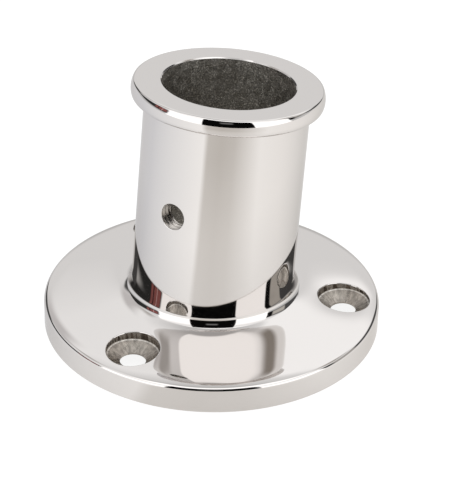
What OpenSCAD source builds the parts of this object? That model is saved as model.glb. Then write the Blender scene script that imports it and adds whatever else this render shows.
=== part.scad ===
// Raked tube socket base: one polished stainless casting. A crowned round
// flange with three drilled screw seats carries a short socket for a round
// tube. The socket leans back from its set screw and ends in a rolled collar.
// Millimetres. The origin is the centre of the flange's foot plane, +Z points
// away from the deck, and the set screw and the first base screw are on -Y.

/* [Flange] */
// Outer diameter of the flange
flange_d = 66; // [65:1:90]
// Height of the flange's edge above the deck
rim_h = 5.6; // [5.4:0.1:9]
// Rise of the crowned top from its edge to the flange's centre
crown_h = 2; // [1.3:0.1:3]
// Radius that breaks the flange's upper edge
rim_round = 1; // [0.4:0.1:1.6]
// Break on the flange's lower edge
foot_break = 0.3; // [0.1:0.1:0.6]

/* [Underside] */
// Height of the hollow under the flange, which keeps the casting's wall even
hollow_h = 3.3; // [1:0.1:3.5]
// Width of the ring that stands on the deck
rim_land = 3.2; // [2.4:0.1:3.5]
// Radius in the roof of the hollow, along its outer wall
hollow_round = 1; // [0.4:0.1:1.2]

/* [Socket] */
// Bore for the tube, a sliding fit on a 25 mm tube
bore_d = 25.5; // [22:0.5:28]
// Wall of the socket
socket_wall = 3.1; // [2.6:0.05:3.6]
// Overall height, from the deck to the highest point of the collar
overall_h = 52; // [44:1:80]
// Lean of the socket away from the set screw, in degrees
rake = 6; // [0:0.5:10]
// Bevel at the mouth of the bore
mouth_bevel = 0.3; // [0.1:0.05:0.8]
// Radius of the cove between the socket and the flange
cove_r = 3.5; // [2.5:0.1:4.2]
// Angle of the cove's arc, from the socket down to its edge, in degrees
cove_angle = 45; // [38:1:55]
// Width of the shallow hollow that runs out from the cove's edge onto the crown
run_out_w = 4; // [2.5:0.1:4.6]
// Radius of that hollow
run_out_r = 12; // [10:0.5:30]

/* [Collar] */
// How far the collar stands proud of the socket
collar_proud = 2.65; // [1.8:0.05:3]
// Depth of the collar along the socket
collar_h = 3.5; // [3:0.1:4.2]
// Height of the collar's widest line above its lower face
collar_widest_h = 1.7; // [1.4:0.1:2]
// Radius of the collar's bulging face
collar_face_round = 3.6; // [3:0.1:6]
// Radius of the collar's upper edge
collar_top_round = 0.5; // [0.3:0.1:0.8]
// Radius of the collar's lower edge
collar_under_round = 1; // [0.5:0.1:1.2]
// Fillet between the collar's lower face and the socket
collar_fillet = 0.5; // [0.2:0.1:0.6]

/* [Base screws] */
// Number of base screws, the first in line with the set screw
screw_count = 3; // [3:1:4]
// Diameter of the circle that the screws stand on
screw_circle_d = 52; // [50:0.5:53]
// Hole for the screw's shank
screw_d = 5; // [4.5:0.1:5.5]
// Diameter of the drilled seat for the screw's head
seat_d = 10.2; // [9:0.1:10.8]
// Straight wall of the seat, below the crowned top
seat_wall = 1.15; // [0.6:0.05:1.3]
// Point angle of the seat, in degrees
seat_angle = 118; // [110:1:130]

/* [Set screw] */
// Nominal diameter of the set screw's thread
set_thread_d = 6; // [4:1:8]
// Pitch of the thread
set_pitch = 1; // [0.7:0.05:1.25]
// Height of the set screw's hole, measured along the socket
set_screw_h = 27.8; // [20:0.1:34]

/* [Hidden] */
$fn = 128;

steel = "#c9c9c7";
flange_r = flange_d / 2;
bore_r = bore_d / 2;
socket_r = bore_r + socket_wall;
collar_r = socket_r + collar_proud;

// The crown is part of a sphere through the flange's edge and its centre.
crown_r = (pow(flange_r, 2) + pow(crown_h, 2)) / (2 * crown_h);
crown_z = rim_h + crown_h - crown_r;
function crown_at(r) = crown_z + sqrt(pow(crown_r, 2) - pow(r, 2));

// The rim's rounding touches the crown from inside and the flange's side.
round_r = flange_r - rim_round;
round_z = crown_z + sqrt(pow(crown_r - rim_round, 2) - pow(round_r, 2));
touch_r = round_r * crown_r / (crown_r - rim_round);

// The socket leans about this point on the flange's axis, the crown's top.
lean_z = rim_h + crown_h;

// The collar's face is a large arc, and two small ones touch it from inside.
face_r = collar_r - collar_face_round;
top_edge_r = face_r + sqrt(pow(collar_face_round - collar_top_round, 2)
    - pow(collar_h - collar_top_round - collar_widest_h, 2));
under_edge_r = face_r + sqrt(pow(collar_face_round - collar_under_round, 2)
    - pow(collar_widest_h - collar_under_round, 2));

// The collar's highest point lies on its upper edge, over the set screw.
mouth_h = lean_z + collar_top_round
    + (overall_h - lean_z - collar_top_round - top_edge_r * sin(rake)) / cos(rake);

// The cove's arc sinks by this much into the socket, so that it meets the
// socket at a clear angle all the way round, and it ends in a crease below.
cove_bite = 0.08;
cove_path_r = socket_r + cove_r - cove_bite;
crease_r = cove_path_r - cove_r * cos(cove_angle);

// The run-out's arc touches the crown, sunk a little so that the two cross at
// a clear angle, and its block reaches a little above the crease.
run_out_sink = 0.04;
run_out_rise = 0.2;
run_out_end_r = crease_r + run_out_w;
run_out_x = run_out_end_r * (crown_r + run_out_r) / crown_r;
run_out_z = crown_z + sqrt(pow(crown_r + run_out_r, 2) - pow(run_out_x, 2)) - run_out_sink;
crease_z = run_out_z - sqrt(pow(run_out_r, 2) - pow(run_out_x - crease_r, 2));
cove_z = crease_z + cove_r * sin(cove_angle);

seat_z = crown_at(screw_circle_d / 2) - seat_wall;
seat_cone_h = (seat_d - screw_d) / 2 / tan(seat_angle / 2);
tap_r = (set_thread_d - set_pitch) / 2;
cut = 10;

// Turns the children from the deck's frame into the leaning socket's frame.
module raked() {
    translate([0, 0, lean_z]) rotate([-rake, 0, 0]) translate([0, 0, -lean_z]) children();
}

// Half section of the flange, with a crowned top and a rounded rim.
module flange_section() {
    intersection() {
        translate([0, crown_z]) circle(r = crown_r, $fn = 720);
        square([touch_r, rim_h + crown_h]);
    }
    translate([round_r, round_z]) circle(r = rim_round);
    polygon([[0, 0], [flange_r - foot_break, 0], [flange_r, foot_break],
        [flange_r, round_z], [0, round_z]]);
}

module flange_disc() {
    rotate_extrude() intersection() {
        flange_section();
        square([flange_r, rim_h + crown_h]);
    }
}

// Ring hollow between the rim that stands on the deck and the socket's foot.
module underside_hollow() {
    hollow_r = flange_r - rim_land;
    difference() {
        rotate_extrude() {
            translate([0, -cut]) square([hollow_r, cut + hollow_h - hollow_round]);
            square([hollow_r - hollow_round, hollow_h]);
            translate([hollow_r - hollow_round, hollow_h - hollow_round])
                circle(r = hollow_round);
        }
        raked() translate([0, 0, -2 * cut]) cylinder(r = socket_r, h = 4 * cut);
    }
}

// Concave ring that blends the foot of the socket into the crown: a cove, and
// a shallow run-out below its crease.
module foot_cove() {
    inner_r = bore_r + socket_wall / 2;
    low_z = hollow_h + cove_bite;
    translate([0, (cove_z - lean_z) * tan(rake), 0]) rotate_extrude() {
        difference() {
            translate([inner_r, low_z]) square([cove_path_r - inner_r, cove_z - low_z]);
            translate([cove_path_r, cove_z]) circle(r = cove_r);
        }
        difference() {
            translate([inner_r, low_z])
                square([run_out_end_r - inner_r, crease_z + run_out_rise - low_z]);
            translate([run_out_x, run_out_z]) circle(r = run_out_r);
        }
    }
}

// Half section of the collar: a bulging face between two rounded edges. Each
// edge's arc touches the face's arc on the line through both centres.
module collar_section() {
    low_z = mouth_h - collar_h;
    face_z = low_z + collar_widest_h;
    top_z = mouth_h - collar_top_round;
    under_z = low_z + collar_under_round;
    top_touch_z = face_z + (top_z - face_z) * collar_face_round
        / (collar_face_round - collar_top_round);
    under_touch_z = face_z - (face_z - under_z) * collar_face_round
        / (collar_face_round - collar_under_round);
    polygon([[0, low_z], [under_edge_r, low_z], [under_edge_r, under_z], [top_edge_r, top_z],
        [top_edge_r, mouth_h], [0, mouth_h]]);
    translate([top_edge_r, top_z]) circle(r = collar_top_round);
    translate([under_edge_r, under_z]) circle(r = collar_under_round);
    intersection() {
        translate([face_r, face_z]) circle(r = collar_face_round);
        translate([0, under_touch_z]) square([collar_r, top_touch_z - under_touch_z]);
    }
    difference() {
        translate([0, low_z - collar_fillet]) square([socket_r + collar_fillet, collar_fillet]);
        translate([socket_r + collar_fillet, low_z - collar_fillet]) circle(r = collar_fillet);
    }
}

// The socket's outside, turned in one piece with its collar.
module socket_body() {
    rotate_extrude() {
        collar_section();
        translate([0, -cut]) square([socket_r, cut + mouth_h - collar_h]);
    }
}

// Bore for the tube, right through, with a bevelled mouth.
module tube_bore() {
    translate([0, 0, -cut]) cylinder(r = bore_r, h = cut + mouth_h + cut);
    translate([0, 0, mouth_h - mouth_bevel])
        cylinder(r1 = bore_r, r2 = bore_r + mouth_bevel + cut, h = mouth_bevel + cut);
}

// Shank hole and the seat that a drill's point leaves for the screw's head.
module screw_hole() {
    rotate_extrude() polygon([[0, -cut], [screw_d / 2, -cut], [screw_d / 2, seat_z - seat_cone_h],
        [seat_d / 2, seat_z], [seat_d / 2, seat_z + cut], [0, seat_z + cut]]);
}

module screw_holes() {
    for (i = [0 : screw_count - 1])
        rotate([0, 0, i * 360 / screw_count]) translate([0, -screw_circle_d / 2, 0]) screw_hole();
}

// Tapping-size hole for the set screw, square to the socket.
module set_screw_hole() {
    translate([0, 0, set_screw_h]) rotate([90, 0, 0]) cylinder(r = tap_r, h = socket_r + cut);
}

// The whole casting, trimmed flat where it stands on the deck.
module socket_base() {
    color(steel) difference() {
        union() {
            flange_disc();
            foot_cove();
            raked() socket_body();
        }
        underside_hollow();
        raked() tube_bore();
        raked() set_screw_hole();
        screw_holes();
        translate([-flange_d, -flange_d, -4 * cut]) cube([2 * flange_d, 2 * flange_d, 4 * cut]);
    }
}

socket_base();
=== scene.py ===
# %% [markdown]
# A tube socket base is one investment casting in stainless steel: a crowned
# round flange, a short socket that leans back by six degrees, and a rolled
# collar at its mouth. The outside is polished until it mirrors the room.
# A mirror hides nothing. A boolean of round solids would leave thin triangles
# whose shading bends every reflection, so the skin is laid out here by hand,
# as sheets of neat quads that share their edges, and each sheet is given the
# exact normals of the surface that it stands for.

# %% Load the imported model
import math
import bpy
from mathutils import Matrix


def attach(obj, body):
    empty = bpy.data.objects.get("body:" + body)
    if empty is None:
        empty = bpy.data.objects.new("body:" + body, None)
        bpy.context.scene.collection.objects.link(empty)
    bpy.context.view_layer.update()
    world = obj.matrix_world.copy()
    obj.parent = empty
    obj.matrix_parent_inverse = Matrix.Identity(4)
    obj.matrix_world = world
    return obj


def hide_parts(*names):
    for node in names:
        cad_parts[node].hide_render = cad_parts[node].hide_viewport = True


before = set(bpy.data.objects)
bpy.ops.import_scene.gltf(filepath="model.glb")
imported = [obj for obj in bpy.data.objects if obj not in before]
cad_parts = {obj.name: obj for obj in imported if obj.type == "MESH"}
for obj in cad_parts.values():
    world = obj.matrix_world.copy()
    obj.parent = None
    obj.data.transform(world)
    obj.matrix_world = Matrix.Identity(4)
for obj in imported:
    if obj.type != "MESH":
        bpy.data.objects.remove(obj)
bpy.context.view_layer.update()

from types import SimpleNamespace
import bmesh
import bpy
import numpy as np

# %% [markdown]
# The sizes are the casting's own, in millimetres, and the mesh is turned into
# metres once, at the end. The flange's top is a cap of a large sphere. Polishing
# has softened it at both ends: by the socket it runs out from the cove on a
# curve that dies away, and before the rim it bends down over a soft shoulder.
# One function gives its height and slope, because the rim, the cove, the crown
# and the seats all have to meet the same surface.

# %% Sizes of the flange, in millimetres
flange_r = 33.0
rim_h = 5.6  # the flange's edge above the deck
crown_h = 2.0  # rise of the top from that edge to the middle
rim_round = 1.0
foot_round = 0.3  # outer edge of the ring that stands on the deck
foot_inner = 0.2  # inner edge of that ring
hollow_h = 3.3
hollow_r = 29.8
hollow_round = 1.0
run_out_h = 0.65  # how far the top rises to the crease below the cove
run_out_w = 1.5  # the distance in which that rise falls to about a third
shoulder_r = 29.0  # where the top begins to bend down
shoulder_bend = 0.02  # slope that each square millimetre past the shoulder adds
print(f"flange {2 * flange_r} mm across, hollow {hollow_h} mm high")

# %% Sizes of the socket and its collar, in millimetres
bore_r = 12.75
socket_r = 15.85
overall_h = 52.0
lean = math.radians(6)
cove_r = 3.5
cove_angle = math.radians(45)
collar_r = 18.5
collar_h = 3.5
widest_h = 1.7  # the collar's widest line above its lower face
face_round = 3.6
top_round = 0.5
under_round = 1.0
crease_round = 0.5  # fillet between the collar and the socket
mouth_bevel = 0.22
mouth_round = 0.08
print(f"socket {2 * socket_r} mm across, bore {2 * bore_r} mm, collar {2 * collar_r} mm")

# %% Places that follow from the sizes
crown_r = (flange_r ** 2 + crown_h ** 2) / (2 * crown_h)
lean_z = rim_h + crown_h
crown_z = lean_z - crown_r
face_x = collar_r - face_round
top_x = face_x + math.sqrt((face_round - top_round) ** 2 - (collar_h - top_round - widest_h) ** 2)
under_x = face_x + math.sqrt((face_round - under_round) ** 2 - (widest_h - under_round) ** 2)
mouth_h = lean_z + top_round + (overall_h - lean_z - top_round
                                - top_x * math.sin(lean)) / math.cos(lean)
path_r = socket_r + cove_r
crease_r = path_r - cove_r * math.cos(cove_angle)
print(f"crown radius {crown_r:.2f} mm, mouth {mouth_h:.2f} mm along the socket")


# %% The surface of the flange's top
def top_at(radius):
    """Height of the flange's top at a distance from its centre, and how fast it falls."""
    sphere = np.sqrt(crown_r ** 2 - radius ** 2)
    run_out = run_out_h * np.exp((crease_r - radius) / run_out_w)
    past = np.maximum(radius - shoulder_r, 0)
    height = crown_z + sphere + run_out - shoulder_bend * past ** 3 / 3
    return height, radius / sphere + run_out / run_out_w + shoulder_bend * past ** 2


print(f"the top is {top_at(crease_r)[0]:.2f} mm high at its crease")

# %% [markdown]
# Every sheet uses the same list of directions round the object, so that their
# edges meet point to point. A screw hole needs a patch of its own: a square of
# quads whose rings close in from the square's edge to the circle. The square
# has as many points on each side as a quarter of the circle, spread like the
# rays of a fan, so the rings turn smoothly from square to round.

# %% Directions round the object
side = 24  # quads along one side of a hole's square
plain_steps = 60  # quads from one square to the next
sector_half = math.radians(15.5)  # half of the angle that a square takes
sector = math.radians(120)  # one for each screw
fan = np.tan(np.linspace(-1, 1, side + 1) * math.pi / 4)
plain = np.linspace(sector_half, sector - sector_half, plain_steps + 1)[:-1]
one_third = np.concatenate([sector_half * fan[:-1], plain])
screw_angles = np.radians([-90, 30, 150])
turn = np.concatenate([angle + one_third for angle in screw_angles])
third = len(one_third)
round_angles = np.radians(-45 + 90 / side * np.arange(4 * side))
print(len(turn), "directions round the object,", len(round_angles), "round each hole")

# %% [markdown]
# The socket leans about the crown's highest point. So a direction in its frame
# is only turned, and a place is turned about that point. Each frame is kept as
# a pair of functions, one for places and one for directions. Rotating an object
# would do for the socket alone, but the cove belongs to both frames.


# %% Places and directions in the leaning socket
def leaning(x, y, z):
    """Turns a direction in the socket's frame into the object's."""
    x, y, z = np.broadcast_arrays(x, y, z)
    return np.stack([x, y * math.cos(lean) + z * math.sin(lean),
                     z * math.cos(lean) - y * math.sin(lean)], -1)


def in_socket(x, y, z):
    """Turns a place in the socket's frame into the object's."""
    return leaning(x, y, z - lean_z) + [0, 0, lean_z]


def upright(x, y, z):
    """Keeps a place or a direction of the flange's frame as it is."""
    return np.stack(np.broadcast_arrays(x, y, z), -1)


def along_at(radius, angle, height):
    """Distance along the socket at which its wall is at a height."""
    return lean_z + (height - lean_z + radius * np.sin(angle) * math.sin(lean)) / math.cos(lean)


SOCKET, FLANGE = (in_socket, leaning), (upright, upright)
print("middle of the mouth, mm:", in_socket(0, 0, mouth_h).round(2))

# %% [markdown]
# Most of the casting is turned, as on a lathe: a profile of arcs and lines is
# carried round an axis. The Screw modifier would do that too, but it works out
# its normals from the quads. These sheets carry the normals of the true arcs, so
# a reflection runs over the quads without a kink.

# %% Sheets, and profiles that are turned
POLISHED, CAST, MACHINED, THREAD = range(4)
sheets = []


def add_sheet(points, normals, finish, closed=True):
    """Keeps a grid of rows and columns as quads, with one normal a point."""
    rows, columns = points.shape[:2]
    index = np.arange(rows * columns).reshape(rows, columns)
    if closed:
        index = np.concatenate([index, index[:, :1]], 1)
    quads = np.stack([index[:-1, :-1], index[:-1, 1:], index[1:, 1:], index[1:, :-1]], -1)
    sheets.append((points.reshape(-1, 3), normals.reshape(-1, 3), quads.reshape(-1, 4), finish))


def arc(centre, radius, start, end, steps, hollow=False):
    """Rows of a profile on an arc: radius, height and the normal's two parts."""
    a = np.radians(np.linspace(start, end, steps + 1))
    facing = -1 if hollow else 1
    return np.stack([centre[0] + radius * np.cos(a), centre[1] + radius * np.sin(a),
                     facing * np.cos(a), facing * np.sin(a)], 1)


def line(start, end, normal, steps):
    """Rows of a profile on a straight line."""
    s = np.linspace(0, 1, steps + 1)[:, None]
    points = np.array(start) * (1 - s) + np.array(end) * s
    return np.hstack([points, np.tile(normal, (steps + 1, 1))])


def turned(profile, frame_of, finish):
    """Turns a profile round the flange's axis or round the socket's."""
    r, z, nr, nz = (profile[:, [k]] for k in range(4))
    c, s = np.cos(turn), np.sin(turn)
    place, direction = frame_of
    add_sheet(place(r * c, r * s, z), direction(nr * c, nr * s, nz), finish)


# %% [markdown]
# The collar is turned round the leaning axis. From the tube upwards its
# profile is a small cast fillet, a flat lower face, a rounded edge, the bulging
# face, a tighter rounded edge, the flat top, and the mouth of the bore. The
# mouth's bevel faces halfway up, so at the back it catches the lamp as a thin
# bright line. Each arc touches the next, and each is its own sheet. The last
# number of an arc or a line is how many quads it takes.

# %% The rolled collar and the mouth
low_z = mouth_h - collar_h
face_z, top_z, under_z = low_z + widest_h, mouth_h - top_round, low_z + under_round
top_tilt = math.degrees(math.asin((top_z - face_z) / (face_round - top_round)))
under_tilt = math.degrees(math.asin((face_z - under_z) / (face_round - under_round)))
blend = mouth_round * math.tan(math.radians(22.5))
mouth_top = np.array([bore_r + mouth_bevel + blend, mouth_h - mouth_round])
mouth_low = np.array([bore_r + mouth_round, mouth_h - mouth_bevel - blend])
slanting = np.array([-math.sqrt(0.5), math.sqrt(0.5)])
crease_centre = (socket_r + crease_round, low_z - crease_round)

turned(arc(crease_centre, crease_round, 180, 90, 8, hollow=True), SOCKET, POLISHED)
turned(line((crease_centre[0], low_z), (under_x, low_z), (0, -1), 4), SOCKET, POLISHED)
turned(arc((under_x, under_z), under_round, -90, -under_tilt, 12), SOCKET, POLISHED)
turned(arc((face_x, face_z), face_round, -under_tilt, top_tilt, 20), SOCKET, POLISHED)
turned(arc((top_x, top_z), top_round, top_tilt, 90, 12), SOCKET, POLISHED)
turned(line((top_x, mouth_h), (mouth_top[0], mouth_h), (0, 1), 8), SOCKET, POLISHED)
turned(arc(mouth_top, mouth_round, 90, 135, 4), SOCKET, POLISHED)
turned(line(mouth_top + mouth_round * slanting, mouth_low + mouth_round * slanting,
            slanting, 2), SOCKET, POLISHED)
turned(arc(mouth_low, mouth_round, 135, 180, 4), SOCKET, POLISHED)
print(f"bulging face from {-under_tilt:.1f} to {top_tilt:.1f} degrees, {len(sheets)} sheets so far")

# %% [markdown]
# The rim, the foot that stands on the deck and the outer wall of the hollow
# are turned round the upright axis. The rim's rounding is a circle that
# touches the shoulder from inside. Where it touches depends on the slope there,
# and the slope on where it touches, so the place is found by going round that
# loop until it settles.

# %% The rim, the foot and the hollow's outer wall
settling = 30  # rounds, far more than the place needs to settle
touch_r = flange_r
for _ in range(settling):
    touch_tilt = math.atan(top_at(touch_r)[1])
    touch_r = flange_r - rim_round + rim_round * math.sin(touch_tilt)
rim_centre = (flange_r - rim_round, top_at(touch_r)[0] - rim_round * math.cos(touch_tilt))
touch_angle = 90 - math.degrees(touch_tilt)

turned(arc((hollow_r - hollow_round, hollow_h - hollow_round), hollow_round, 90, 0, 8,
           hollow=True), FLANGE, CAST)
turned(line((hollow_r, hollow_h - hollow_round), (hollow_r, foot_inner), (-1, 0), 2),
       FLANGE, CAST)
turned(arc((hollow_r + foot_inner, foot_inner), foot_inner, 180, 270, 4), FLANGE, CAST)
turned(line((hollow_r + foot_inner, 0), (flange_r - foot_round, 0), (0, -1), 2), FLANGE, MACHINED)
turned(arc((flange_r - foot_round, foot_round), foot_round, -90, 0, 6), FLANGE, POLISHED)
turned(line((flange_r, foot_round), (flange_r, rim_centre[1]), (1, 0), 6), FLANGE, POLISHED)
turned(arc(rim_centre, rim_round, 0, touch_angle, 16), FLANGE, POLISHED)
print(f"the rim's rounding meets the shoulder at a radius of {touch_r:.2f} mm")

# %% [markdown]
# The cove is what a ball leaves as it rolls round the leaning socket at one
# height. Its arc starts where the ball touches the socket, turns downwards, and
# stops in a crease where it meets the flange's top. A Bevel modifier would run
# out smoothly there, without that crease. Here the arc is halved again and again,
# which finds the crease for every direction at once.

# %% The cove round the socket's foot
halvings = 40
cove_rows = 17
cove_z = top_at(crease_r)[0] + cove_r * math.sin(cove_angle)
ball_along = along_at(path_r, turn, cove_z)
ball = in_socket(path_r * np.cos(turn), path_r * np.sin(turn), ball_along)
to_socket, downwards = -leaning(np.cos(turn), np.sin(turn), 0), np.array([0.0, 0.0, -1.0])
opening = np.arccos(to_socket @ downwards)[None, :, None]


def cove_arc(swing):
    """Places on the ball and the way to them, turned down from the socket."""
    ray = (np.sin(opening - swing) * to_socket + np.sin(swing) * downwards) / np.sin(opening)
    return ball + cove_r * ray, ray


low, high = 0 * opening, opening
for _ in range(halvings):
    middle = (low + high) / 2
    places, _ = cove_arc(middle)
    is_above = places[..., 2:] > top_at(np.hypot(places[..., :1], places[..., 1:2]))[0]
    low, high = np.where(is_above, middle, low), np.where(is_above, high, middle)
points, ray = cove_arc(np.linspace(0, 1, cove_rows)[:, None, None] * low)
add_sheet(points, -ray, POLISHED)
crown_inner = points[-1]
print(f"crease at {crown_inner[:, 2].min():.2f} to {crown_inner[:, 2].max():.2f} mm")

# %% [markdown]
# A band with holes is laid out flat first, in two numbers a point: the plan
# for the crown, and angle and distance for the walls of the socket. A function
# then lifts it onto its surface, so every ring round a hole lies exactly on
# the flange's top or on the cylinder. The rings stand closer together towards
# the hole, where the edge of a mirror shows most.


# %% Bands with holes in them
def holed_band(low, high, lift, rims, finish, wrap=0.0):
    """Fills between two flat curves, with rings round the hole in each sector."""
    rings, crowding = 8, 1.3
    low = np.vstack([low, low[:1] + [wrap, 0]])
    high = np.vstack([high, high[:1] + [wrap, 0]])
    share = ((fan + 1) / 2)[:, None, None]
    flat = low * (1 - share) + high * share
    edges = sorted(rims)
    for k, first in enumerate(edges):
        last = edges[k + 1] if k + 1 < len(edges) else len(screw_angles)
        add_sheet(*lift(flat[:, first * third + side:last * third + 1]), finish, closed=False)
        patch = flat[:, first * third:first * third + side + 1]
        frame_of_patch = np.concatenate([patch[:-1, -1], patch[-1, :0:-1],
                                         patch[:0:-1, 0], patch[0, :-1]])
        ring = np.linspace(0, 1, rings)[:, None, None] ** crowding
        add_sheet(*lift(rims[first] * (1 - ring) + frame_of_patch * ring), finish)


# %% [markdown]
# The crown is one band from the crease to the rim, with three holes. The roof
# of the hollow is a second one under it, from the socket's foot to the hollow's
# outer wall. Both have their holes on the same circle, at equal angles, and the
# first hole stands under the set screw.

# %% The crown and the roof of the hollow
screw_circle_r = 26.0
shank_r = 2.5
seat_r = 5.1
seat_round = 0.2


def circle_in_plan(angle, radius):
    """A circle round a screw hole, seen from above, starting at its lower right."""
    outward = np.array([math.cos(angle), math.sin(angle)])
    sideways = np.array([-outward[1], outward[0]])
    a = round_angles[:, None]
    return screw_circle_r * outward + radius * (np.cos(a) * sideways + np.sin(a) * outward)


def lift_to_crown(flat):
    """Places and normals on the flange's top, above places in the plan."""
    x, y = flat[..., 0], flat[..., 1]
    radius = np.hypot(x, y)
    height, slope = top_at(radius)
    steep = np.hypot(slope, 1)
    normals = upright(slope * x / radius, slope * y / radius, 1) / steep[..., None]
    return upright(x, y, height), normals


def lift_to_roof(flat):
    """Places on the hollow's flat roof, and normals that face the deck."""
    points = upright(flat[..., 0], flat[..., 1], hollow_h)
    return points, np.broadcast_to([0.0, 0.0, -1.0], points.shape)


around = np.stack([np.cos(turn), np.sin(turn)], 1)
holed_band(crown_inner[:, :2], touch_r * around, lift_to_crown,
           {k: circle_in_plan(a, seat_r + seat_round) for k, a in enumerate(screw_angles)},
           POLISHED)
hub_top = in_socket(socket_r * np.cos(turn), socket_r * np.sin(turn),
                    along_at(socket_r, turn, hollow_h))
holed_band(hub_top[:, :2], (hollow_r - hollow_round) * around, lift_to_roof,
           {k: circle_in_plan(a, shank_r) for k, a in enumerate(screw_angles)}, CAST)
print(f"crown and roof laid out, holes on a circle {2 * screw_circle_r} mm across")

# %% [markdown]
# The buffing wheel rolls the sharp edge of each seat over by a fifth of a
# millimetre. A Bevel modifier would give the edge one round profile of its own.
# Here a quarter circle follows the crown round each hole, and its normals turn
# from the crown's own to the seat's wall, so no line shows where it begins.

# %% The rolled edges of the seats
edge_rows = 7
for angle in screw_angles:
    down = np.radians(np.linspace(0, 90, edge_rows))[:, None, None]
    flat = np.stack([circle_in_plan(angle, seat_r + seat_round * (1 - math.sin(d)))
                     for d in down.ravel()])
    points, facing = lift_to_crown(flat)
    points[..., 2] -= seat_round * (1 - np.cos(down[..., 0]))
    inward = circle_in_plan(angle, 0) - circle_in_plan(angle, 1)
    facing = np.cos(down) * facing + np.sin(down) * upright(inward[:, 0], inward[:, 1], 0)
    add_sheet(points, facing, POLISHED)
print(len(screw_angles), "rolled edges laid out")

# %% [markdown]
# The socket's outer wall and its bore are cylinders in the leaning frame. Each
# has one band with the set screw's hole in it, and plain bands above and below
# that reach the cove, the collar, the mouth and the deck.

# %% The walls of the socket
set_screw_h = 27.8  # along the socket
set_screw_r = 2.55
screw_mouth_round = 0.15
outer_reach, inner_reach = 4.3, 3.4  # half heights of the two bands with the hole


def wall(radius, facing):
    """Gives a function that lifts angles and distances onto a cylinder."""
    def lift(flat):
        c, s = np.cos(flat[..., 0]), np.sin(flat[..., 0])
        return (in_socket(radius * c, radius * s, flat[..., 1]),
                leaning(facing * c, facing * s, 0))
    return lift


def set_screw_rim(radius, hole_r):
    """The set screw's hole on a wall, as angles and distances along the socket."""
    across = np.arcsin(hole_r * np.cos(round_angles) / radius)
    return np.stack([screw_angles[0] + across,
                     set_screw_h + hole_r * np.sin(round_angles)], 1)


def band(radius, facing, low, high, steps, finish):
    """A plain band of a wall, between two distances for each direction."""
    share = np.linspace(0, 1, steps + 1)[:, None]
    flat = np.stack(np.broadcast_arrays(turn, low * (1 - share) + high * share), -1)
    add_sheet(*wall(radius, facing)(flat), finish)


level = np.ones_like(turn)
for radius, facing, reach, hole_r, low, high, finish in [
        (socket_r, 1, outer_reach, set_screw_r + screw_mouth_round, ball_along,
         crease_centre[1], POLISHED),
        (bore_r, -1, inner_reach, set_screw_r, along_at(bore_r, turn, 0), mouth_low[1], CAST)]:
    low_edge, high_edge = set_screw_h - reach, set_screw_h + reach
    band(radius, facing, low, low_edge * level, 16, finish)
    holed_band(np.stack([turn, low_edge * level], 1), np.stack([turn, high_edge * level], 1),
               wall(radius, facing), {0: set_screw_rim(radius, hole_r)}, finish,
               wrap=2 * math.pi)
    band(radius, facing, high_edge * level, high * level, 16, finish)
print(f"walls laid out, {socket_r - bore_r:.2f} mm apart")

# %% [markdown]
# Under the flange the socket's wall goes on down to the deck, through the
# hollow, and ends in a flat ring. The set screw's hole has a rolled edge too.
# It lies on a cylinder, so each point of its quarter circle sinks as deep as
# the wall curves away beside the hole.

# %% The socket's foot and the set screw's rolled edge
band(socket_r, 1, along_at(socket_r, turn, 0), along_at(socket_r, turn, hollow_h), 3, CAST)
foot_rows = 5
ring = np.linspace(bore_r, socket_r, foot_rows)[:, None]
hub_foot = in_socket(ring * np.cos(turn), ring * np.sin(turn), along_at(ring, turn, 0))
add_sheet(hub_foot, np.broadcast_to([0.0, 0.0, -1.0], hub_foot.shape), MACHINED)

mouth_rows = 6
down = np.radians(np.linspace(0, 90, mouth_rows))[:, None]
mouth = set_screw_r + screw_mouth_round * (1 - np.sin(down))
x, z = mouth * np.cos(round_angles), mouth * np.sin(round_angles)
y = screw_mouth_round * (1 - np.cos(down)) - np.sqrt(socket_r ** 2 - x ** 2)
facing = (np.cos(down) * np.stack([x, y, 0 * z]) / socket_r
          - np.sin(down) * np.stack([x, 0 * y, z]) / mouth)
add_sheet(in_socket(x, y, z + set_screw_h), leaning(*facing), POLISHED)
print(len(sheets), "sheets laid out by hand")

# %% [markdown]
# The drilled seats repeat three times and the thread follows a helix, so both
# are made by Geometry Nodes. Each tree starts from a flat grid and moves its
# points by sums on their row and column, which is how one grid becomes a cone or
# a screw. A tree of sums is hard to read when each is a node made by hand. So a
# Number stands for a socket here, and adding or dividing two of them adds the
# math node that does it.


# %% Helpers for node trees
class Number:
    """A number in a node tree, which plain sums can work on."""

    def __init__(self, socket):
        self.socket = socket

    def __add__(self, other):
        return worked("ADD", self, other)

    def __sub__(self, other):
        return worked("SUBTRACT", self, other)

    def __rsub__(self, other):
        return worked("SUBTRACT", other, self)

    def __mul__(self, other):
        return worked("MULTIPLY", self, other)

    def __truediv__(self, other):
        return worked("DIVIDE", self, other)

    def __rtruediv__(self, other):
        return worked("DIVIDE", other, self)


def socket_of(value):
    """The socket that a Number stands for, or the value itself."""
    return value.socket if isinstance(value, Number) else value


def node(tree, kind, inputs=None, **settings):
    """Adds a node, sets its properties, and links or sets its inputs."""
    made = tree.nodes.new(kind)
    for key, value in settings.items():
        setattr(made, key, value)
    for key, value in (inputs or {}).items():
        if isinstance(socket_of(value), bpy.types.NodeSocket):
            tree.links.new(socket_of(value), made.inputs[key])
        else:
            made.inputs[key].default_value = value
    return made


def worked(operation, *values):
    """Adds a math node on some values, in the tree that they stand in."""
    tree = next(socket_of(v) for v in values if not isinstance(v, (int, float))).id_data
    return Number(node(tree, "ShaderNodeMath", dict(enumerate(values)),
                       operation=operation).outputs[0])


# %% Helpers for turned grids
hard_edge = math.radians(30)
seam_gap = 1e-6  # metres


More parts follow.
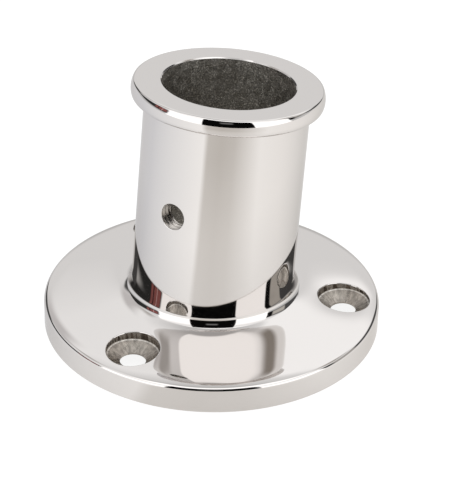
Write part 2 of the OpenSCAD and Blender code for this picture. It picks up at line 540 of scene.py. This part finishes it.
def new_tree(name, **inputs):
    """A new tree with inputs of the given kinds, and what comes in by them."""
    tree = bpy.data.node_groups.new(name, "GeometryNodeTree")
    for label, kind in inputs.items():
        tree.interface.new_socket(label, in_out="INPUT", socket_type="NodeSocket" + kind)
    tree.interface.new_socket("Geometry", in_out="OUTPUT", socket_type="NodeSocketGeometry")
    given = tree.nodes.new("NodeGroupInput").outputs
    return tree, SimpleNamespace(**{label: Number(given[label]) for label in inputs})


def grid_rows(tree, rows, steps):
    """A grid of rows and columns, with each point's row and angle."""
    columns = steps + 1.0
    grid = node(tree, "GeometryNodeMeshGrid", {"Vertices X": rows, "Vertices Y": columns})
    index = Number(node(tree, "GeometryNodeInputIndex").outputs[0])
    row = worked("FLOOR", (index + 0.5) / columns)
    column = index - row * columns
    return grid.outputs["Mesh"], row, column * (2 * math.pi) / steps


def close_and_shade(tree, mesh):
    """Welds the seam of a turned grid and keeps its hard edges hard."""
    welded = node(tree, "GeometryNodeMergeByDistance", {"Geometry": mesh, "Distance": seam_gap})
    angle = node(tree, "GeometryNodeInputMeshEdgeAngle").outputs["Unsigned Angle"]
    soft = node(tree, "FunctionNodeCompare", {"A": angle, "B": hard_edge},
                operation="LESS_THAN").outputs["Result"]
    return node(tree, "GeometryNodeSetShadeSmooth", {0: welded.outputs[0], 2: soft},
                domain="EDGE").outputs[0]


def evaluate(tree, **values):
    """Runs a tree on a carrier object and gives back a plain mesh."""
    carrier = bpy.data.objects.new(tree.name, bpy.data.meshes.new(tree.name))
    bpy.context.scene.collection.objects.link(carrier)
    modifier = carrier.modifiers.new(tree.name, "NODES")
    modifier.node_group = tree
    for item in tree.interface.items_tree:
        if item.in_out == "INPUT":
            modifier[item.identifier] = values[item.name]
    ready = carrier.evaluated_get(bpy.context.evaluated_depsgraph_get())
    mesh = bpy.data.meshes.new_from_object(ready)
    bpy.data.objects.remove(carrier)
    return mesh


# %% [markdown]
# Each seat is what a drill leaves: a straight wall, the cone of the drill's
# point and the hole for the shank. Its profile is a small mesh without faces,
# whose points hold a radius, a mark and a height. The tree reads it row by row.
# The first point is marked to follow the crown, because the wall of the seat is
# higher on the side towards the socket.

# %% The profile of a drilled seat
seat_wall = 1.15
seat_angle = math.radians(118)
seat_z = crown_z + math.sqrt(crown_r ** 2 - screw_circle_r ** 2) - seat_wall
cone_h = (seat_r - shank_r) / math.tan(seat_angle / 2)
cone_steps = 12
cone = np.linspace(0, 1, cone_steps + 1)
seat_rows = [(seat_r, 1, -seat_round)]
seat_rows += [(seat_r + (shank_r - seat_r) * s, 0, seat_z - cone_h * s) for s in cone]
seat_rows += [(shank_r, 0, (seat_z - cone_h) * (1 - s) + hollow_h * s) for s in (0.5, 1.0)]
profile_mesh = bpy.data.meshes.new("seat_profile")
profile_mesh.from_pydata([(r / 1000, follow, z / 1000) for r, follow, z in seat_rows], [], [])
seat_profile = bpy.data.objects.new("seat_profile", profile_mesh)
print(f"seat {2 * seat_r} mm across, its cone {cone_h:.2f} mm deep, {len(seat_rows)} rows")

# %% [markdown]
# The tree turns that profile round the drill's axis. For the marked point it
# works out the crown's height by the same rule as the function at the top. It
# then keeps each point's radius and angle in an attribute, which the finish
# reads later to draw the tool's rings, and sets the seat on as many points as
# there are screws, each turned by an equal share of the circle.

# %% The tree that turns a seat and repeats it
tree, given = new_tree(
    "drilled_seats", profile="Object", rows="Int", steps="Int", screws="Int", circle_r="Float",
    crown_r="Float", crown_z="Float", crease_r="Float", run_out_h="Float", run_out_w="Float",
    shoulder_r="Float", shoulder_bend="Float", finish="Material")
mesh, row, angle = grid_rows(tree, given.rows, given.steps)
profile = node(tree, "GeometryNodeObjectInfo", {"Object": given.profile}).outputs["Geometry"]
place = node(tree, "GeometryNodeInputPosition").outputs[0]
sample = node(tree, "GeometryNodeSampleIndex", {"Geometry": profile, "Index": row},
              data_type="FLOAT_VECTOR", domain="POINT")
tree.links.new(place, sample.inputs["Value"])
split = node(tree, "ShaderNodeSeparateXYZ", {0: sample.outputs[0]}).outputs
radius, follows, height = (Number(output) for output in split)

x = radius * worked("COSINE", angle)
y = radius * worked("SINE", angle) - given.circle_r
plan_squared = x * x + y * y
plan_r = worked("SQRT", plan_squared)
sphere = worked("SQRT", given.crown_r * given.crown_r - plan_squared)
run_out = given.run_out_h * worked("EXPONENT", (given.crease_r - plan_r) / given.run_out_w)
past = worked("MAXIMUM", plan_r - given.shoulder_r, 0.0)
top = given.crown_z + sphere + run_out - past * past * past * (given.shoulder_bend / 3.0)
z = height + follows * top

turned_place = node(tree, "ShaderNodeCombineXYZ", {0: x, 1: y, 2: z}).outputs[0]
moved = node(tree, "GeometryNodeSetPosition", {"Geometry": mesh, "Position": turned_place})
tool_place = node(tree, "ShaderNodeCombineXYZ", {0: radius, 1: angle, 2: 1.0}).outputs[0]
marked = node(tree, "GeometryNodeStoreNamedAttribute", {
    "Geometry": moved.outputs[0], "Name": "tool", "Value": tool_place},
    data_type="FLOAT_VECTOR", domain="POINT")
seat = close_and_shade(tree, marked.outputs[0])
points = node(tree, "GeometryNodePoints", {"Count": given.screws}).outputs[0]
number = Number(node(tree, "GeometryNodeInputIndex").outputs[0])
spin = node(tree, "ShaderNodeCombineXYZ", {2: number * (2 * math.pi / given.screws)}).outputs[0]
copies = node(tree, "GeometryNodeInstanceOnPoints", {"Points": points, "Instance": seat,
                                                     "Rotation": spin})
real = node(tree, "GeometryNodeRealizeInstances", {0: copies.outputs[0]})
finished = node(tree, "GeometryNodeSetMaterial", {0: real.outputs[0], "Material": given.finish})
node(tree, "NodeGroupOutput", {0: finished.outputs[0]})
print("nodes in the seats' tree:", len(tree.nodes))

# %% The three drilled seats
machined = bpy.data.materials.new("machined_seat")
seats = evaluate(
    tree, profile=seat_profile, rows=len(seat_rows), steps=4 * side, screws=len(screw_angles),
    circle_r=screw_circle_r / 1000, crown_r=crown_r / 1000, crown_z=crown_z / 1000,
    crease_r=crease_r / 1000, run_out_h=run_out_h / 1000, run_out_w=run_out_w / 1000,
    shoulder_r=shoulder_r / 1000, shoulder_bend=shoulder_bend * 1e6, finish=machined)
print("drilled seats:", len(seats.polygons), "faces")

# %% [markdown]
# The set screw's thread is a groove that winds round the hole, one millimetre
# a turn. A Screw modifier could make it, but its ends would have to be cut to
# the two curved walls. On a grid its depth is a wave in the sum of the angle and
# the distance along the hole, so a single rule makes the whole helix. The two
# ends lie on the socket's wall and on the bore, and the groove fades out there,
# as the polishing and the tap's lead leave it.

# %% The tree of the set screw's thread
groove_flat = 0.12  # share of the wave that stays flat at its crest and its root
fade_share = 9.0  # the groove fades within a ninth of the hole at each end
tree, given = new_tree(
    "cut_thread", rows="Int", steps="Int", hole_r="Float", depth="Float", pitch="Float",
    outer_r="Float", mouth="Float", inner_r="Float", height="Float", lean="Float",
    lean_about="Vector", finish="Material")
mesh, row, angle = grid_rows(tree, given.rows, given.steps)
share = row / (given.rows - 1.0)


def wall_depth(radius, x):
    """Distance from the socket's axis to a wall, beside the hole's middle."""
    return worked("SQRT", radius * radius - x * x)


plain_x = given.hole_r * worked("COSINE", angle)
start = wall_depth(given.outer_r, plain_x) - given.mouth
depth = start * (1.0 - share) + wall_depth(given.inner_r, plain_x) * share
turns = depth / given.pitch + angle / (2 * math.pi)
wave = worked("PINGPONG", turns, 0.5) * 2.0
groove = Number(node(tree, "ShaderNodeMapRange", {
    0: wave, 1: groove_flat, 2: 1 - groove_flat}).outputs[0])
fade = worked("MINIMUM", worked("MINIMUM", share, 1.0 - share) * fade_share, 1.0)
radius = given.hole_r + given.depth * (groove * fade)

place = node(tree, "ShaderNodeCombineXYZ", {
    0: radius * worked("COSINE", angle), 1: depth * -1.0,
    2: radius * worked("SINE", angle) + given.height}).outputs[0]
turned_place = node(tree, "ShaderNodeVectorRotate", {
    "Vector": place, "Center": given.lean_about, "Angle": given.lean * -1.0},
    rotation_type="X_AXIS").outputs[0]
moved = node(tree, "GeometryNodeSetPosition", {"Geometry": mesh, "Position": turned_place})
whole = close_and_shade(tree, moved.outputs[0])
finished = node(tree, "GeometryNodeSetMaterial", {0: whole, "Material": given.finish})
node(tree, "NodeGroupOutput", {0: finished.outputs[0]})
print("nodes in the thread's tree:", len(tree.nodes))

# %% The set screw's thread
set_pitch = 1.0
thread_depth = 0.5
thread_rows = 65
threaded = bpy.data.materials.new("cut_thread")
thread = evaluate(
    tree, rows=thread_rows, steps=4 * side, hole_r=set_screw_r / 1000, depth=thread_depth / 1000,
    pitch=set_pitch / 1000, outer_r=socket_r / 1000, mouth=screw_mouth_round / 1000,
    inner_r=bore_r / 1000, height=set_screw_h / 1000, lean=lean,
    lean_about=(0.0, 0.0, lean_z / 1000), finish=threaded)
print("thread:", len(thread.polygons), "faces")

# %% [markdown]
# All the sheets now become one skin. The two meshes from Geometry Nodes are
# taken apart into places, quads and normals first, like the rest. A seat faces
# a point above its middle, and the thread faces the middle of its hole, so a
# small sum tells whether a mesh came out the right way round.


# %% Take the meshes from Geometry Nodes as sheets
def take(mesh, finish, middles):
    """Keeps a mesh as a sheet with its own shading, facing the nearest middle."""
    places = np.array([v.co for v in mesh.vertices]) * 1000
    quads = np.array([p.vertices[:] for p in mesh.polygons])
    corners = np.array([n.vector for n in mesh.corner_normals]).reshape(-1, 4, 3)
    gaps = np.array(middles)[None] - places[quads].mean(1)[:, None]
    nearest = gaps[np.arange(len(gaps)), np.linalg.norm(gaps, axis=2).argmin(1)]
    if (nearest * corners.mean(1)).sum() < 0:
        corners = -corners
    tool = np.zeros((len(places), 3))
    if "tool" in mesh.attributes:
        tool = np.array([d.vector for d in mesh.attributes["tool"].data])
        tool[:, 0] *= 1000
    return places, corners, quads, finish, tool


over_seats = [(screw_circle_r * math.cos(a), screw_circle_r * math.sin(a), lean_z)
              for a in screw_angles]
in_thread = in_socket(0, -(socket_r + bore_r) / 2, set_screw_h)
skin = [(p, n[q], q, f, np.zeros_like(p)) for p, n, q, f in sheets]
skin.append(take(seats, MACHINED, over_seats))
skin.append(take(thread, THREAD, [in_thread]))
print(len(skin), "sheets make the skin")

# %% [markdown]
# A quad's points may run either way round, but its normals say which side is
# outside. Where the two disagree, the quad is turned over. The normals of its
# corners and the tool's place go along as attributes, because welding the
# sheets would lose a list that is kept outside the mesh.

# %% Turn every quad outwards and make one mesh
points, corners, quads, finishes, tools, count = [], [], [], [], [], 0
for places, normals, faces, finish, tool in skin:
    a, b, c, d = (places[faces[:, k]] for k in range(4))
    backwards = (np.cross(c - a, d - b) * normals.mean(1)).sum(1) < 0
    faces, normals = faces.copy(), normals.copy()
    faces[backwards] = faces[backwards, ::-1]
    normals[backwards] = normals[backwards, ::-1]
    points.append(places)
    corners.append(normals)
    quads.append(faces + count)
    finishes.append(np.full(len(faces), finish))
    tools.append(tool)
    count += len(places)

mesh = bpy.data.meshes.new("socket_casting")
mesh.from_pydata(np.concatenate(points) / 1000, [], np.concatenate(quads).tolist())
mesh.attributes.new("facing", "FLOAT_VECTOR", "CORNER").data.foreach_set(
    "vector", np.concatenate(corners).ravel())
mesh.attributes.new("tool", "FLOAT_VECTOR", "POINT").data.foreach_set(
    "vector", np.concatenate(tools).ravel())
mesh.polygons.foreach_set("material_index", np.concatenate(finishes).astype(np.int32))
print(count, "points before welding")

# %% [markdown]
# The sheets share their edges point to point, so one weld closes the casting.
# An edge that hasn't exactly two faces would be a gap or a stray sheet, and the
# cell counts those. It prints the skin's volume too. The corners' normals are set
# again last.

# %% Weld the skin and give it its normals
weld_within = 3e-6  # metres
cubic_mm = 1e9  # so many in a cubic metre
work = bmesh.new()
work.from_mesh(mesh)
bmesh.ops.remove_doubles(work, verts=work.verts, dist=weld_within)
gaps = sum(len(edge.link_faces) != 2 for edge in work.edges)
volume = work.calc_volume() * cubic_mm
work.to_mesh(mesh)
work.free()
facing = np.empty(len(mesh.loops) * 3, np.float32)
mesh.attributes["facing"].data.foreach_get("vector", facing)
facing = facing.reshape(-1, 3)
facing /= np.linalg.norm(facing, axis=1, keepdims=True)
mesh.attributes.remove(mesh.attributes["facing"])
mesh.polygons.foreach_set("use_smooth", np.ones(len(mesh.polygons), bool))
mesh.normals_split_custom_set(facing)
casting = bpy.data.objects.new("socket_casting", mesh)
bpy.context.scene.collection.objects.link(casting)
print(f"{len(mesh.polygons)} faces, {gaps} open edges, {volume:.0f} cubic mm")

# %% [markdown]
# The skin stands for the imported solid, so it replaces that node and rides on
# the same body. The collision and the weight stay with the solid.

# %% Put the casting in the solid's place
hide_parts("socket_base")
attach(casting, "root")
print("the skin stands for socket_base")

# %% [markdown]
# Four finishes meet on this casting: mirror polish outside, the mould's grainy
# skin in the bore and the hollow, the drill's rings in the seats, and a bright
# cut thread. All are bare steel, so they share a metallic shader and differ in
# roughness, tone and relief. Images could hold such marks, but patterns worked
# out from the place on the object need no unwrapping and stay sharp close up. A
# noise's scale is about the number of its waves in a metre.


# %% Helpers for the finishes
def steel(name, colour, roughness):
    """A bare-steel material with its tree, shader and object coordinates."""
    material = bpy.data.materials.get(name) or bpy.data.materials.new(name)
    material.use_nodes = True
    shader = material.node_tree.nodes["Principled BSDF"]
    shader.inputs["Metallic"].default_value = 1.0
    shader.inputs["Base Color"].default_value = (*colour, 1.0)
    shader.inputs["Roughness"].default_value = roughness
    tree = material.node_tree
    place = node(tree, "ShaderNodeTexCoord").outputs["Object"]
    return material, tree, shader, place


def noise(tree, place, scale, detail=3.0, roughness=0.5):
    """A cloudy pattern between 0 and 1, mostly near the middle."""
    return node(tree, "ShaderNodeTexNoise", {
        "Vector": place, "Scale": scale, "Detail": detail, "Roughness": roughness}).outputs["Fac"]


def spread(tree, value, low, high, start=0.3, end=0.7, **settings):
    """Maps a value's range from start to end to a new range, and stops there."""
    return Number(node(tree, "ShaderNodeMapRange", {
        0: value, 1: start, 2: end, 3: low, 4: high}, **settings).outputs[0])


def relief(tree, height, depth_mm, normal=None):
    """A bump of so many millimetres."""
    inputs = {"Height": height, "Strength": 1.0, "Distance": depth_mm / 1000}
    if normal is not None:
        inputs["Normal"] = normal
    return node(tree, "ShaderNodeBump", inputs).outputs[0]


def link(tree, output, shader, name):
    """Joins a result to one of the shader's sockets."""
    tree.links.new(socket_of(output), shader.inputs[name])


# %% [markdown]
# Hand polishing leaves dips about a centimetre wide and a grain too fine to see,
# and both bend the mirror images a little. A buffing wheel also dips into each
# screw hole, so the polish has a relief that falls away round the three seats.
# The steel mirrors a bit less at a glancing angle than the shader's own metal
# does, which its Specular Tint sets.

# %% The mirror polish
seat_mid_z = 0.0065  # metres, about the height of the seats' upper edges
dip_reach = 0.0025  # metres, within which the buffing wheel's dip falls to a third
polished, tree, shader, place = steel("mirror_polish", (0.735, 0.71, 0.695), 0.04)
shader.inputs["Specular Tint"].default_value = (0.85, 0.84, 0.83, 1.0)
hand = relief(tree, noise(tree, place, 110.0, 1.0), 0.022)
grain = relief(tree, noise(tree, place, 2600.0, 2.0), 0.0002, hand)
to_hole = 1.0
for angle in screw_angles:
    seat_at = (screw_circle_r * math.cos(angle) / 1000, screw_circle_r * math.sin(angle) / 1000,
               seat_mid_z)
    to_seat = node(tree, "ShaderNodeVectorMath", {0: place, 1: seat_at}, operation="DISTANCE")
    to_hole = worked("MINIMUM", to_hole, to_seat.outputs["Value"])
near_hole = worked("EXPONENT", (seat_r / 1000 - to_hole) / dip_reach)
link(tree, relief(tree, near_hole, -0.2, grain), shader, "Normal")
link(tree, spread(tree, noise(tree, place, 60.0), 0.02, 0.05), shader, "Roughness")
print("polish:", len(tree.nodes), "nodes")

# %% [markdown]
# A ceramic mould leaves an even, sandy skin with low lumps. Its grains catch the
# light one by one. So a fine noise gives both the pits and, by a ramp of tones,
# the few bright grains among many dull ones.


# %% The skin of the mould, in the bore and the hollow
def grey(level):
    """A neutral colour."""
    return (level, level, level)


def ramp(tree, value, low, high, stops):
    """A smooth row of colours along a value, with stops given in its own unit."""
    made = node(tree, "ShaderNodeValToRGB", {0: spread(tree, value, 0.0, 1.0, low, high)})
    elements = made.color_ramp.elements
    while len(elements) < len(stops):
        elements.new(0.5)
    for element, (at, colour) in zip(elements, sorted(stops.items())):
        element.position = (at - low) / (high - low)
        element.color = (*colour, 1.0)
    return made.outputs[0]


cast, tree, shader, place = steel("cast_skin", (0.44, 0.42, 0.375), 0.5)
lumps = relief(tree, noise(tree, place, 500.0, 3.0), 0.03)
pits = relief(tree, noise(tree, place, 3600.0, 2.0), 0.06, lumps)
link(tree, pits, shader, "Normal")
speckle = ramp(tree, noise(tree, place, 3300.0, 2.0), 0.0, 1.0, {
    0.35: (0.34, 0.325, 0.30), 0.55: (0.47, 0.45, 0.415), 0.70: (0.90, 0.87, 0.81)})
link(tree, speckle, shader, "Base Color")
link(tree, spread(tree, noise(tree, place, 700.0), 0.32, 0.55), shader, "Roughness")
print("cast skin:", len(tree.nodes), "nodes")

# %% [markdown]
# A drill cuts in circles round its own axis, and chips streak the cone from the
# middle outwards. Object coordinates know nothing of that axis. The attribute
# from the seats' tree does: it holds the radius in millimetres and the angle, so
# bands along the first are rings, and a noise stretched along it makes streaks.
# The tones go by radius too, from the shank's hole up to the seat's wall. The wall
# is painted dark as shade, and the light ring at the cone's outer edge is a
# painted highlight.


# %% The drilled seats, with the tool's rings and streaks
def mixed(tree, share, first, second, blend="MIX"):
    """Mixes two colours, each a socket or three numbers."""
    pair = [(*c, 1.0) if isinstance(c, tuple) else c for c in (first, second)]
    return node(tree, "ShaderNodeMix", {0: share, 6: pair[0], 7: pair[1]},
                data_type="RGBA", blend_type=blend).outputs[2]


machined, tree, shader, place = steel("machined_seat", (0.52, 0.485, 0.45), 0.3)
tool = node(tree, "ShaderNodeAttribute", attribute_name="tool").outputs["Vector"]
stretched = node(tree, "ShaderNodeMapping", {"Vector": tool, "Scale": (1.0, 6.0, 1.0)}).outputs[0]
streak = noise(tree, stretched, 1.0, 3.0)
streaks = relief(tree, streak, 0.02)
rings = node(tree, "ShaderNodeTexWave", {"Vector": tool, "Scale": 2.4, "Distortion": 0.6},
             wave_type="BANDS", bands_direction="X").outputs["Fac"]
link(tree, relief(tree, rings, 0.006, streaks), shader, "Normal")
from_axis = node(tree, "ShaderNodeSeparateXYZ", {0: tool}).outputs[0]
# the cone's own tones, with painted shade on the seat's wall and a painted highlight ring at the
# cone's outer edge
tone_and_painted_light = ramp(tree, from_axis, 2.0, 5.2, {
    2.5: (0.46, 0.42, 0.38), 4.0: (0.50, 0.46, 0.41), 4.75: (0.42, 0.38, 0.34),
    4.85: (0.80, 0.77, 0.72), 5.0: (0.78, 0.74, 0.68), 5.08: (0.16, 0.13, 0.105)})
worn = ramp(tree, streak, 0.0, 1.0, {0.35: grey(0.6), 0.65: grey(1.1)})
link(tree, mixed(tree, 1.0, tone_and_painted_light, worn, "MULTIPLY"), shader, "Base Color")
link(tree, spread(tree, noise(tree, stretched, 0.7), 0.22, 0.42), shader, "Roughness")
print("seats' finish:", len(tree.nodes), "nodes")

# %% [markdown]
# The thread is cut steel like the seats, only brighter, and too small to need
# more than a fine grain. The four materials go on the mesh in the order that its
# quads count them: polished, cast, machined, thread.

# %% The cut thread, and all four on the casting
threaded, tree, shader, place = steel("cut_thread", (0.5, 0.47, 0.44), 0.22)
link(tree, relief(tree, noise(tree, place, 3000.0), 0.01), shader, "Normal")
link(tree, spread(tree, noise(tree, place, 1500.0), 0.16, 0.34), shader, "Roughness")

for material in (polished, cast, machined, threaded):
    casting.data.materials.append(material)
print("finishes:", [m.name for m in casting.data.materials])

# %% [markdown]
# A mirror takes all its looks from the room. The photograph was made in a
# white tent: its front stands open round the camera, dark gaps stand behind its
# side cards, a lamp hangs over the opening, and the roof above is dimmer. Area
# lights would show as hard rectangles in the polish and would each need a place.
# The world shader builds the room by direction instead. It turns each ray into
# an angle round the object and an angle above the floor, and takes the tent's
# own shade from the second.

# %% The tent's own shade
camera_turn = math.radians(-55.6)  # where the camera stands, round the object


def angle_round(tree, place):
    """Angle round the object in degrees, from the camera's side to the right."""
    turned_place = node(tree, "ShaderNodeVectorRotate", {"Vector": place, "Angle": -camera_turn},
                        rotation_type="Z_AXIS").outputs[0]
    across, along, upward = node(tree, "ShaderNodeSeparateXYZ", {0: turned_place}).outputs
    return worked("DEGREES", worked("ARCTAN2", along, across)), upward


world = bpy.data.worlds.new("white_tent")
bpy.context.scene.world = world
world.use_nodes = True
tree = world.node_tree
tree.nodes.clear()
direction = node(tree, "ShaderNodeTexCoord").outputs["Generated"]
around_deg, upward = angle_round(tree, direction)
above_deg = worked("DEGREES", worked("ARCSINE", upward))
room = ramp(tree, above_deg, -10.0, 90.0, {
    -10: grey(0.40), 6: grey(0.40), 14: grey(0.54), 26: grey(0.53), 36: grey(0.62),
    50: grey(0.63), 64: grey(0.50), 76: grey(0.38)})
print("the camera stands at", round(math.degrees(camera_turn), 1), "degrees")

# %% [markdown]
# Everything else in the room is a panel: a patch between two angles round the
# object and two above the floor, with a soft edge and a colour. A row of the
# table gives one panel, and the shader mixes them over the tent's shade in that
# order, so a later one covers an earlier one. The dark front opening makes the
# black marks in the cove, the collar and the rim.


# %% The panels of the room
def between(tree, angle, low, high, soft):
    """1 between two angles, falling to 0 over a soft edge."""
    rise = spread(tree, angle, 0.0, 1.0, low - soft, low + soft, interpolation_type="SMOOTHSTEP")
    fall = spread(tree, angle, 1.0, 0.0, high - soft, high + soft, interpolation_type="SMOOTHSTEP")
    return rise * fall


# degrees round from and to, above from and to, softness round and above, colour
panels = {
    "white cards": (-74, 78, -12, 33, 2, 8, grey(0.93)),
    "lamp": (-67, 60, 44, 71, 2.5, 3, grey(0.92)),
    "lamp's soft end": (40, 84, 44, 71, 14, 3, grey(0.92)),
    "light back": (115, 176, 32, 58, 5, 4, grey(0.72)),
    "grey left": (-128, -92, 40, 54, 8, 4, (0.34, 0.33, 0.32)),
    "grey far left": (-157, -115, 26, 44, 5, 5, (0.40, 0.39, 0.39)),
    "brown right": (92, 120, 38, 52, 9, 5, (0.23, 0.21, 0.19)),
    "front opening": (-28.5, 32, -12, 45.5, 0.8, 2, grey(0.002)),
    "glint in the opening": (-7, 8, 19, 26, 2, 3, grey(0.11)),
    "dark left": (-153, -72, 3, 19, 2, 2.5, grey(0.02)),
    "dark far left": (-153, -132, 8, 25, 3, 3, grey(0.055)),
    "red cloth": (-92, -74, 7, 17, 1.5, 2.5, (0.18, 0.065, 0.06)),
    "dark fold": (-88, -86, 7, 17, 0.6, 2.5, (0.03, 0.012, 0.012)),
    "light fold": (-81, -80.4, 5, 17, 0.5, 2.5, (0.5, 0.36, 0.35)),
    "dark right": (77, 150, 6, 27, 1.5, 2.5, grey(0.05)),
    "black edge": (77, 85, 6, 27, 1, 2.5, grey(0.004)),
    "beige right": (85.5, 107, 9, 23, 1.5, 3, (0.33, 0.315, 0.29)),
}
for left, right, low, high, soft_round, soft_above, colour in panels.values():
    sideways = between(tree, around_deg, left, right, soft_round)
    room = mixed(tree, sideways * between(tree, above_deg, low, high, soft_above), room, colour)
print("panels:", ", ".join(panels))

# %% [markdown]
# The camera itself must see plain white behind the floor's edge and not the
# tent. Light Path tells its own rays from the mirrored ones. The tent's strength
# makes a colour of about 0.61 come out as full white.

# %% The light of the room
tent_strength = 1.65
seen_white = 0.61
from_camera = node(tree, "ShaderNodeLightPath").outputs["Is Camera Ray"]
behind = mixed(tree, from_camera, room, grey(seen_white))
background = node(tree, "ShaderNodeBackground", {"Color": behind, "Strength": tent_strength})
node(tree, "ShaderNodeOutputWorld", {0: background.outputs[0]})
print("white behind:", round(seen_white * tent_strength, 2))

# %% [markdown]
# The floor is a wide white sheet, a hair below the deck so that the foot's ring
# doesn't flicker against it. The camera sees it as white, while it still takes
# the casting's soft shadow. A plain white sheet would show too bright in the
# polish, so mirrored rays see a greyer one with painted light and shade on it:
# lighter in front and darker behind, a warm wedge of painted shade that runs out
# towards the open front of the tent, and a painted shadow round the flange's foot.

# %% The floor's sheet
floor_r = 1.6  # metres
floor_gap = 0.00002  # metres
floor_mesh = bpy.data.meshes.new("floor")
work = bmesh.new()
bmesh.ops.create_circle(work, cap_ends=True, segments=96, radius=floor_r)
bmesh.ops.translate(work, verts=work.verts, vec=(0, 0, -floor_gap))
work.to_mesh(floor_mesh)
work.free()
floor = bpy.data.objects.new("floor", floor_mesh)
bpy.context.scene.collection.objects.link(floor)
print("floor", 2 * floor_r, "m across")

# %% What the camera and the mirror see of the floor
paper_grey = 0.26  # the share that takes light and shadow
paper_glow = 0.86  # the share that the camera sees glow by itself
sheet = bpy.data.materials.new("white_sheet")
sheet.use_nodes = True
tree = sheet.node_tree
tree.nodes.clear()
seen = node(tree, "ShaderNodeLightPath").outputs
place = node(tree, "ShaderNodeTexCoord").outputs["Object"]
floor_deg, _ = angle_round(tree, place)
# painted light and shade on the floor as the mirror sees it: lighter in front, darker behind
light = ramp(tree, floor_deg, -180.0, 180.0, {
    -180: (0.60, 0.60, 0.61), -110: (0.58, 0.59, 0.62), -60: (0.78, 0.78, 0.78),
    -29: (0.90, 0.89, 0.875), 46: (0.87, 0.855, 0.83), 80: (0.82, 0.80, 0.775),
    125: (0.66, 0.65, 0.63), 180: (0.60, 0.60, 0.60)})
# a warm wedge of painted shade towards the open front, deeper further out
painted_shade_wedge = ramp(tree, floor_deg, -180.0, 180.0, {
    -28: grey(0), -22: grey(0.9), -5: grey(1), 12: grey(0.9), 30: grey(0.45), 46: grey(0)})
away = node(tree, "ShaderNodeVectorMath", {0: place}, operation="LENGTH").outputs["Value"]
deeper = spread(tree, away, 0.5, 1.0, 0.035, 0.14)
# painted shadow: the mirrored floor is dimmed round the flange's foot
painted_shadow_near_foot = spread(tree, away, 0.86, 1.0, 0.033, 0.08)
mirrored = mixed(tree, worked("MULTIPLY", painted_shade_wedge, deeper), light, (0.43, 0.40, 0.36))
dimmed = node(tree, "ShaderNodeVectorMath", {0: mirrored, "Scale": painted_shadow_near_foot},
              operation="SCALE").outputs[0]
paper = node(tree, "ShaderNodeBsdfDiffuse", {"Color": (*grey(paper_grey), 1.0)})
shown = mixed(tree, seen["Is Glossy Ray"], grey(paper_glow), dimmed)
direct = worked("MAXIMUM", seen["Is Camera Ray"], seen["Is Glossy Ray"])
glow = node(tree, "ShaderNodeEmission", {"Color": shown, "Strength": direct})
both = node(tree, "ShaderNodeAddShader", {0: paper.outputs[0], 1: glow.outputs[0]})
node(tree, "ShaderNodeOutputMaterial", {0: both.outputs[0]})
floor_mesh.materials.append(sheet)
print("the floor's material:", len(tree.nodes), "nodes")

# %% [markdown]
# The camera looks down at about thirty degrees from nearly half a metre away,
# with a long lens, as product photographs are made, so the flange stays nearly
# free of perspective. The focal length was found in pixels, and the sensor's
# width stands for the longer side of the picture.

# %% The camera and its view
focal_px, picture_px = 2292.4, 480
camera_data = bpy.data.cameras.new("camera")
camera_data.sensor_width = 36.0
camera_data.lens = focal_px / picture_px * camera_data.sensor_width
camera_data.clip_start, camera_data.clip_end = 0.02, 20.0
camera = bpy.data.objects.new("camera", camera_data)
camera.location = (0.216105, -0.314718, 0.248347)
camera.rotation_euler = [math.radians(angle) for angle in (58.8599, -1.1064, 34.6982)]
bpy.context.scene.collection.objects.link(camera)
bpy.context.scene.camera = camera
bpy.context.scene.view_settings.view_transform = "Standard"
print(f"lens {camera_data.lens:.0f} mm, {camera.location.length:.2f} m from the flange's centre")
